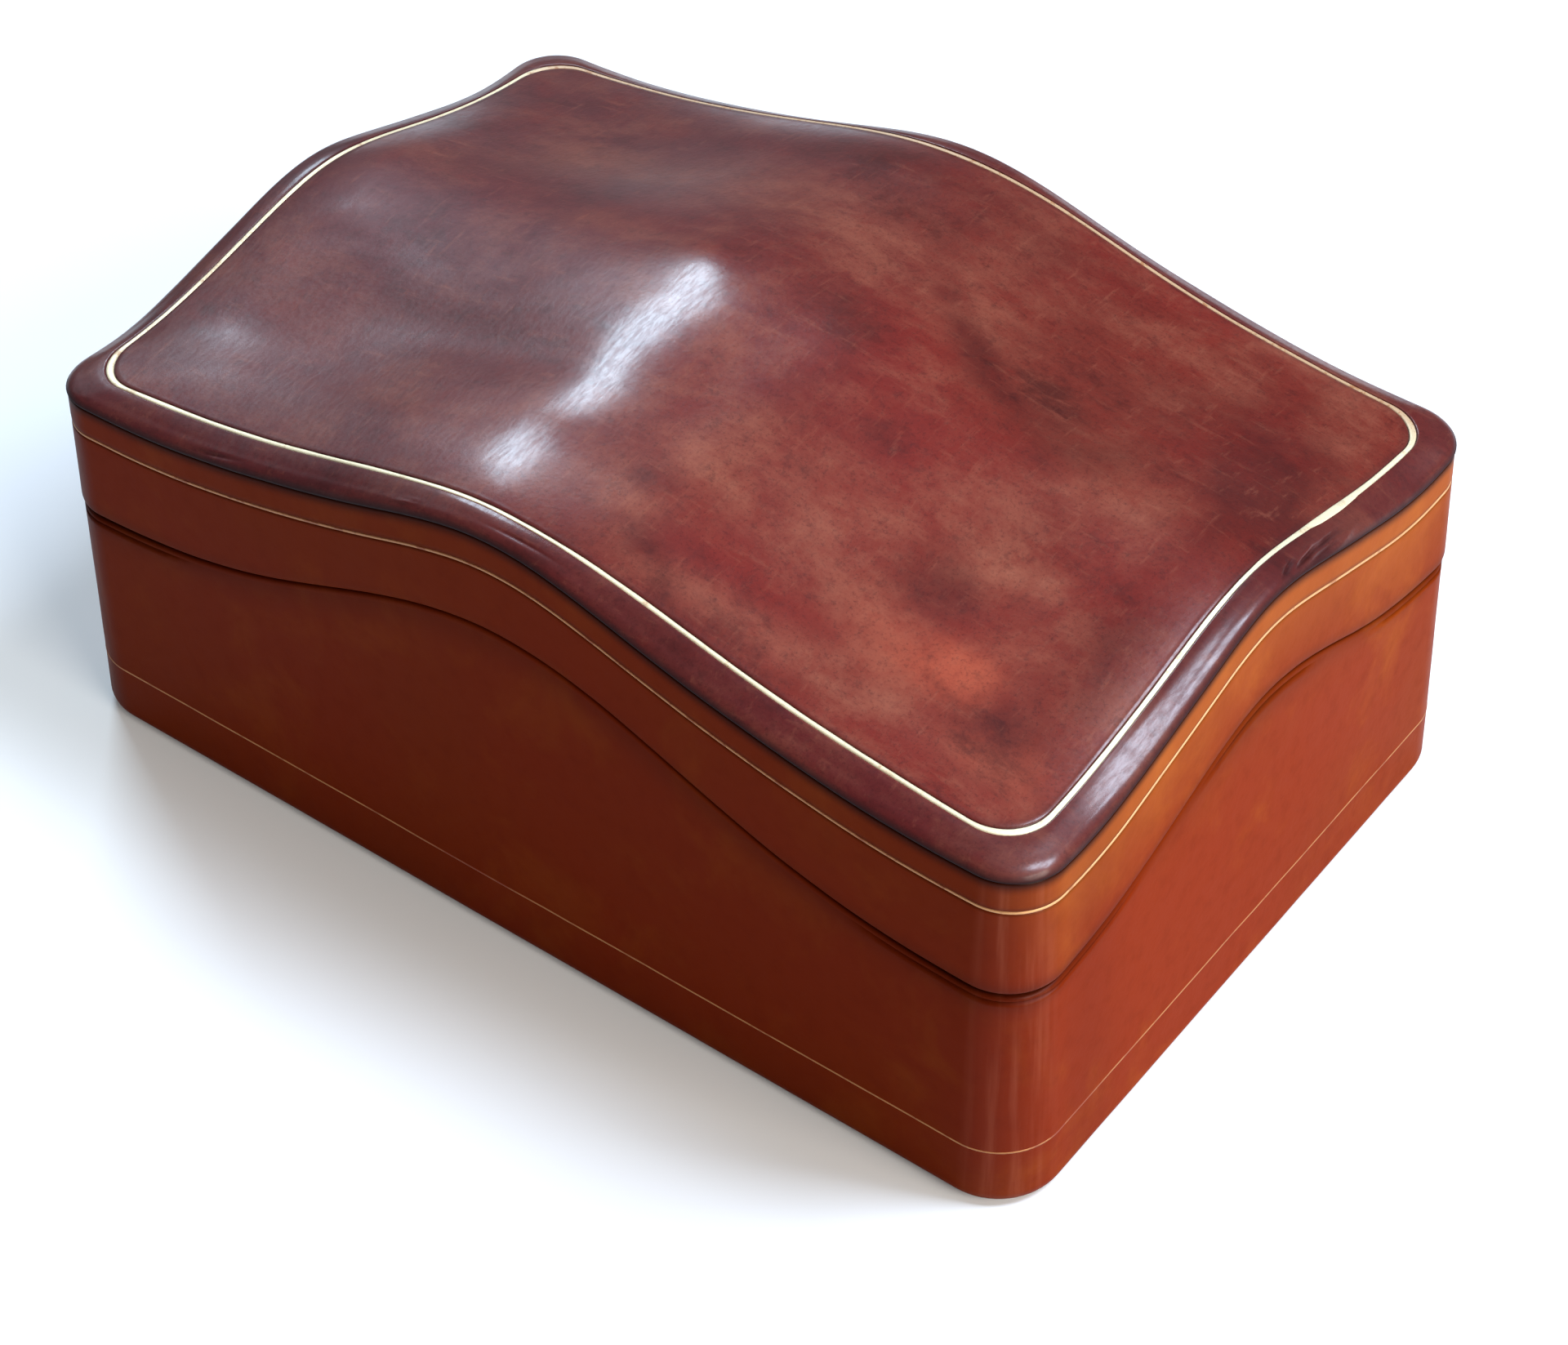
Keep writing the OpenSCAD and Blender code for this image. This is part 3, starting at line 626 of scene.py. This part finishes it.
def lidInnerLining():
    rings = [nearRing(lidInner["outer"], h, partAt) for h in lidInner["outerHeights"]]
    rings += [nearRing(inset, h, partAt) for inset, h in curve(lidInner["edge"], 3)]
    low = nearRing(lidInner["inner"], lidInner["low"], partAt)
    high = nearRing(lidInner["inner"], lidInner["high"], sideAt)
    rings += [low + t * (high - low) for t in lidInner["shares"]]
    stands = ["lid_front_lining", "lid_back_lining", "lid_left_lining", "lid_right_lining"]
    loft("lid_inner_lining", rings, "lid", stands, finish["lining"])


def lidCeiling():
    rings = [nearRing(inset, h, sideAt) for inset, h in ceiling["edge"]]
    edge, inner = rings[-1], box["padInset"] + box["padWidth"]
    bed = padRing(inner, drop=ceiling["drop"])
    for t in np.linspace(0, 1, ceiling["slopeRings"])[1:]:
        rings.append(edge + (bed - edge) * np.array([t, t, t * t * (3 - 2 * t)]))
    for share in np.linspace(1, 0, ceiling["rings"])[1:-1]:
        rings.append(padRing(inner, share, ceiling["drop"]))
    loft("lid_ceiling", rings, "lid", ["lid_ceiling_lining"], finish["lining"], pole=True)


lipLining()
floorLining()
lidInnerLining()
lidCeiling()

# lid side hide: the foot's heights are from the parting line, the others from the side line
# the darks here are painted shade: on the hide's underside, at its foot in the parting gap, low on the wall
# by the gap, and under the roll towards the crease; the side gilt groove is darker too. The band's tan is
# toned down on the front as painted shade
lidHide = dict(
    under=[(6.3, 0.15), (3.0, 0.15)], foot=[(1.3, 0.15), (0.55, 0.28), (0.14, 0.68), (0, 1.3)],
    footDark=(0.3, 0.7), gapShare=0.65, wallRings=14, lineClear=0.8, lowDark=(0.08, 0.25), lowReach=1.6,
    lowTan=0.22, groove=[(0.03, -0.55), (0.1, -0.36), (0.3, -0.28), (0.3, 0.28), (0.1, 0.36), (0.03, 0.55)],
    grooveDark=0.35, bandRings=12, bandTan=0.37, crease=5.85, creaseInset=1.3, creaseStart=3.6,
    creaseReach=2.0, creaseCurve=1.3, creaseDark=0.97)


def lidSideHide():
    s, hide = lidHide, Hide()
    for inset, h in s["under"]:
        hide.add(sideRing(inset, partZ + h, 0), 1)
    plainDark, insetDark = s["footDark"]
    # painted shade, stronger in the parting gap at the corners and on the right
    gap = 1 - s["gapShare"] + s["gapShare"] * partingMark
    for inset, h in curve(s["foot"], 5):
        hide.add(sideRing(inset, partZ + h), np.minimum(1, (insetDark * max(0, inset) + plainDark) * gap))
    low, high = partZ + s["foot"][-1][1], sideZ - s["lineClear"]
    plainDark, gapDark = s["lowDark"]
    for t in np.linspace(0, 1, s["wallRings"])[1:]:
        z = low + t * (high - low)
        dark = (plainDark + gapDark * partingMark) * np.clip(1 - (z - low) / s["lowReach"], 0, 1)
        hide.add(sideRing(0, z), dark, s["lowTan"] * t * tanSide)
    tan = s["bandTan"] * tanSide
    for inset, h in s["groove"]:
        hide.add(sideRing(inset, sideZ + h), s["grooveDark"], tan)
    for t in np.linspace(0, 1, s["bandRings"])[1:]:
        h = s["lineClear"] + t * (s["crease"] - s["lineClear"])
        # painted shade under the roll, growing towards the crease
        dark = s["creaseDark"] * np.clip((h - s["creaseStart"]) / s["creaseReach"], 0, 1) ** s["creaseCurve"]
        hide.add(sideRing(0, sideZ + h), dark, tan)
    hide.add(sideRing(s["creaseInset"], sideZ + s["crease"], 0), 1)
    hide.loft("lid_side_hide", "lid", ["lid_side_leather"])


lidSideHide()

# lid top hide: sections are insets and heights above the crest or the side line
# crease and fold darks are painted shade; rollCool lays painted shade with a bluish reflected cast on the
# roll; the roll, the gilt groove and the pad just inside it are also darker
topHide = dict(
    roll=[(1.4, 5.95), (0.3, 5.8), (-0.02, 5.98), (-0.12, 6.35), (0.35, 7.1), (1.15, 7.68), (2.2, 8.08),
          (3.2, 8.42), (4.1, 8.64), (4.95, 8.72)],
    creaseTop=5.9, creaseReach=1.25, creaseCurve=0.8, creaseDark=0.95, creaseInset=1.5, rollDark=0.2,
    foldStep=3, foldEnd=4.6, foldFade=1.5, foldRise=1.4, foldDark=1.1, rollCool=0.6, coolShade=(0.45, 0.85),
    groove=[(5.16, 8.73, 0.25), (5.28, 8.6, 0.6), (5.34, 8.4, 0.8), (5.5, 8.38, 0.8), (6.1, 8.38, 0.8),
            (6.26, 8.4, 0.8), (6.32, 8.6, 0.6), (6.44, 8.74, 0.3)],  # with how dark
    padRings=20, padSpread=1.15, padDark=0.35, padFade=9, middleRings=34)
# short folds across the roll: distance round the rim, inset, half length, half width, slant, rise
# (the slant is mm inwards for each foldStep mm along)
folds = [(259.5, 1.6, 2.6, 0.45, 0.9, -0.5), (264.5, 1.3, 3.4, 0.4, 0.5, -0.6),
         (266.2, 2.3, 2.6, 0.5, 0.8, 0.35), (272.0, 1.9, 4.2, 0.45, 0.35, -0.45),
         (276.5, 1.0, 3.0, 0.45, 0.6, 0.3), (269.0, 0.6, 5.0, 0.4, 0.2, -0.4),
         (30.0, 0.7, 3.5, 0.3, 0.25, -0.2), (72.5, 1.4, 1.1, 0.3, 1.6, 0.25),
         (96.0, 2.2, 5.0, 0.3, 0.12, -0.12)]


def foldLift(inset):  # none under the roll or near the gilt line
    lift = np.zeros(stationCount)
    for place, across, long, wide, slant, rise in folds:
        u = around - place
        v = (inset - across) - slant * u / topHide["foldStep"]
        lift += rise * np.exp(-(u / long) ** 2 - (v / wide) ** 2)
    return lift * min(1, max(0, (topHide["foldEnd"] - inset) / topHide["foldFade"])) * (inset > 0)


def lidTopHide():
    s, rings, dark = topHide, [], []
    for inset, h in curve(s["roll"], 5):
        ring, lift = rollRing(inset, h), foldLift(inset)
        ring[:, :2] += outward * lift[:, None]
        ring[:, 2] += s["foldRise"] * lift
        rings.append(ring)
        # painted shade in the crease under the roll and in the folds' hollows
        crease = np.clip(1 - (h - s["creaseTop"]) / s["creaseReach"], 0, 1) ** s["creaseCurve"]
        shade = crease * s["creaseDark"] if inset < s["creaseInset"] else 0.0
        dark.append(np.clip(shade + s["rollDark"] + s["foldDark"] * np.maximum(0, -lift), 0, 1))
    onRoll = [s["rollCool"]] * len(rings)
    for inset, h, shade in s["groove"]:
        rings.append(rollRing(inset, h))
        dark.append(shade)
    for t in np.linspace(0, 1, s["padRings"])[1:]:
        rings.append(padRing(box["padInset"] + box["padWidth"] * t ** s["padSpread"]))
        dark.append(s["padDark"] * max(0, 1 - t * s["padFade"]))
    for share in np.linspace(1, 0, s["middleRings"])[1:-1]:
        rings.append(padRing(box["padInset"] + box["padWidth"], share))
        dark.append(0)
    onRoll += [0] * (len(rings) - len(onRoll))
    # painted shade with a bluish reflected cast, growing towards the left, and kept on the roll
    middle, most = s["coolShade"]
    coolShade = [np.clip(middle - r[:, 0] / box["halfLong"], least, most) for r, least in zip(rings, onRoll)]
    marks = {"dark": dark, "coolShade": coolShade}
    marks.update({kind: [patchMark(r, spots) for r in rings] for kind, spots in patches.items()})
    loft("lid_top_hide", rings, "lid", ["lid_top_leather"], finish["top"], marks,
         pole=True)


lidTopHide()

# gilt lines: sections are insets and heights; the top line's end overlaps its start on the right
topGilt = dict(
    section=[(5.36, 8.42), (5.4, 8.56), (5.52, 8.64), (5.8, 8.67), (6.08, 8.64), (6.2, 8.56), (6.24, 8.42)],
    middle=5.8, wander=[(0.15, 7, 0.5), (0.1, 1.8, 7.5)], spread=1.1,
    overlap=(281, 11), wider=0.8, outwards=0.22, raised=0.12, leftDimmer=0.25)
sideGilt = dict(
    section=[(0.26, -0.24), (0.12, -0.22), (0.06, -0.12), (0.05, 0), (0.06, 0.12), (0.12, 0.22),
             (0.26, 0.24)],
    wander=[(0.06, 5, 4.5)], shadeFade=(192, 14), shadeFadeShare=0.75)
footGilt = dict(
    section=[(0.34, -0.17), (0.26, -0.15), (0.24, 0), (0.26, 0.15), (0.34, 0.17)], height=12.6,
    wearAndShade=[(82, 13, 1), (202, 7, 1), (430, 20, 0.8)])  # place round the rim, reach, share


def wander(parts):  # how a line's width wanders: share, size and seed of each part
    return sum(share * np.array([noise.noise(Vector((a / size, seed, 2))) for a in around])
               for share, size, seed in parts)


def topGiltLine():
    s = topGilt
    overlap = nearPlace(*s["overlap"])
    widen = s["spread"] * (wander(s["wander"]) + s["wider"] * overlap)
    rings = []
    for inset, h in s["section"]:
        ring = rollRing(inset, h)
        ring[:, :2] -= outward * ((inset - s["middle"]) * widen - s["outwards"] * overlap)[:, None]
        ring[:, 2] += s["raised"] * overlap
        rings.append(ring)
    # the top line is dimmer on the back and a little on the left
    wearAndShade = facing["back"] + s["leftDimmer"] * facing["left"]
    loft("lid_top_gilt", rings, "lid", ["lid_top_gilt_line"], finish["gold"],
         {"wearAndShade": [wearAndShade] * len(rings)})


def sideGiltLine():
    widen = 1 + wander(sideGilt["wander"])
    rings = [sideRing(inset, sideZ + h * widen) for inset, h in sideGilt["section"]]
    # painted shade: the side line is darker on the front face, easing off round the near corner
    wearAndShade = np.clip(-outward[:, 1] - sideGilt["shadeFadeShare"] * nearPlace(*sideGilt["shadeFade"]), 0, 1)
    loft("lid_side_gilt", rings, "lid", ["lid_side_gilt_line"], finish["fineGold"],
         {"wearAndShade": [wearAndShade] * len(rings)})


def footGiltLine():
    rings = [sideRing(inset, footGilt["height"] + h) for inset, h in footGilt["section"]]
    wearAndShade = sum(share * nearPlace(place, reach) for place, reach, share in footGilt["wearAndShade"])
    loft("base_foot_gilt", rings, "base", ["base_foot_gilt_line"], finish["footGold"],
         {"wearAndShade": [wearAndShade] * len(rings)})


topGiltLine()
sideGiltLine()
footGiltLine()

# floor, light, camera
ground = dict(half=6, pale=(0.79, 0.79, 0.785), dark=(0.75, 0.75, 0.745),
              near=0.09, far=0.55, reach=(0.4, 2.4))


def makeFloor():  # it turns to white with distance for the camera's own rays
    s = Shader("pale_floor", Specular_IOR_Level=0.2, Emission_Strength=1)
    cloth = s.noise(180, 3, 0.5)
    away = s.node("VectorMath", {"operation": "LENGTH"}, {0: s.place()}, "Value")
    glow = ground["near"] + ground["far"] * away.step(*ground["reach"])
    glow = s.node("LightPath", {}, {}, "Is Camera Ray") * glow
    s.put(s.main.inputs["Emission Color"], s.mix(glow, (0, 0, 0), (1, 1, 1)))
    mesh = bpy.data.meshes.new("floor")
    h = ground["half"]
    mesh.from_pydata([(-h, -h, 0), (h, -h, 0), (h, h, 0), (-h, h, 0)], [], [(0, 1, 2, 3)])
    mesh.materials.append(s.finish(s.mix(cloth, ground["dark"], ground["pale"]), 0.75))
    floor = bpy.data.objects.new("floor", mesh)
    bpy.context.scene.collection.objects.link(floor)


room = dict(colour=(1, 0.97, 0.93, 1), strength=0.1, aimHeight=0.06)
# toward, distance, width and height, watts, colour
lamps = dict(window_left=((-0.6, 0.42, 0.68), 1.7, (0.54, 0.46), 20, (0.66, 0.84, 1)),
             window_right=((0.47, 0.27, 0.84), 1.6, (0.4, 0.8), 32, (0.7, 0.82, 1)),
             sky_left=((-0.8, 0.1, 0.5), 1.7, (1.1, 0.7), 2, (0.8, 0.88, 1)),
             side_fill=((0.84, -0.14, 0.52), 1.5, (0.9, 0.7), 19, (1, 0.95, 0.88)))


def makeLight():
    world = bpy.data.worlds.new("room")
    bpy.context.scene.world = world
    world.use_nodes = True
    background = world.node_tree.nodes["Background"]
    background.inputs["Color"].default_value = room["colour"]
    background.inputs["Strength"].default_value = room["strength"]
    for name, (toward, distance, size, watts, colour) in lamps.items():
        lamp = bpy.data.lights.new(name, "AREA")
        lamp.shape, lamp.size, lamp.size_y = "RECTANGLE", *size
        lamp.energy, lamp.color = watts, colour
        holder = bpy.data.objects.new(name, lamp)
        way = Vector(toward).normalized()
        level = Vector((0, 0, 1)).cross(way).normalized()
        holder.matrix_world = (Matrix.Translation(way * distance + Vector((0, 0, room["aimHeight"])))
                               @ Matrix((level, way.cross(level), way)).transposed().to_4x4())
        bpy.context.scene.collection.objects.link(holder)
    print("lamps", len(lamps))


shot = dict(place=(0.26788, -0.34005, 0.41041), yaw=-37.604313, pitch=42.708199, roll=0.843567, lens=75.727,
            sensor=36, far=50)


def makeCamera():
    yaw, pitch, roll = (math.radians(shot[k]) for k in ("yaw", "pitch", "roll"))
    look = Vector((math.sin(yaw) * math.cos(pitch), math.cos(yaw) * math.cos(pitch), -math.sin(pitch)))
    right = look.cross(Vector((0, 0, 1))).normalized()
    down = look.cross(right)
    sideways = math.cos(roll) * right + math.sin(roll) * down
    upward = math.sin(roll) * right - math.cos(roll) * down
    camera = bpy.data.objects.new("camera", bpy.data.cameras.new("camera"))
    camera.data.lens, camera.data.sensor_width = shot["lens"], shot["sensor"]
    camera.data.clip_end = shot["far"]
    camera.matrix_world = (Matrix.Translation(shot["place"])
                           @ Matrix((sideways, upward, -look)).transposed().to_4x4())
    bpy.context.scene.collection.objects.link(camera)
    bpy.context.scene.camera = camera
    bpy.context.scene.view_settings.view_transform = "Standard"


makeFloor()
makeLight()
makeCamera()
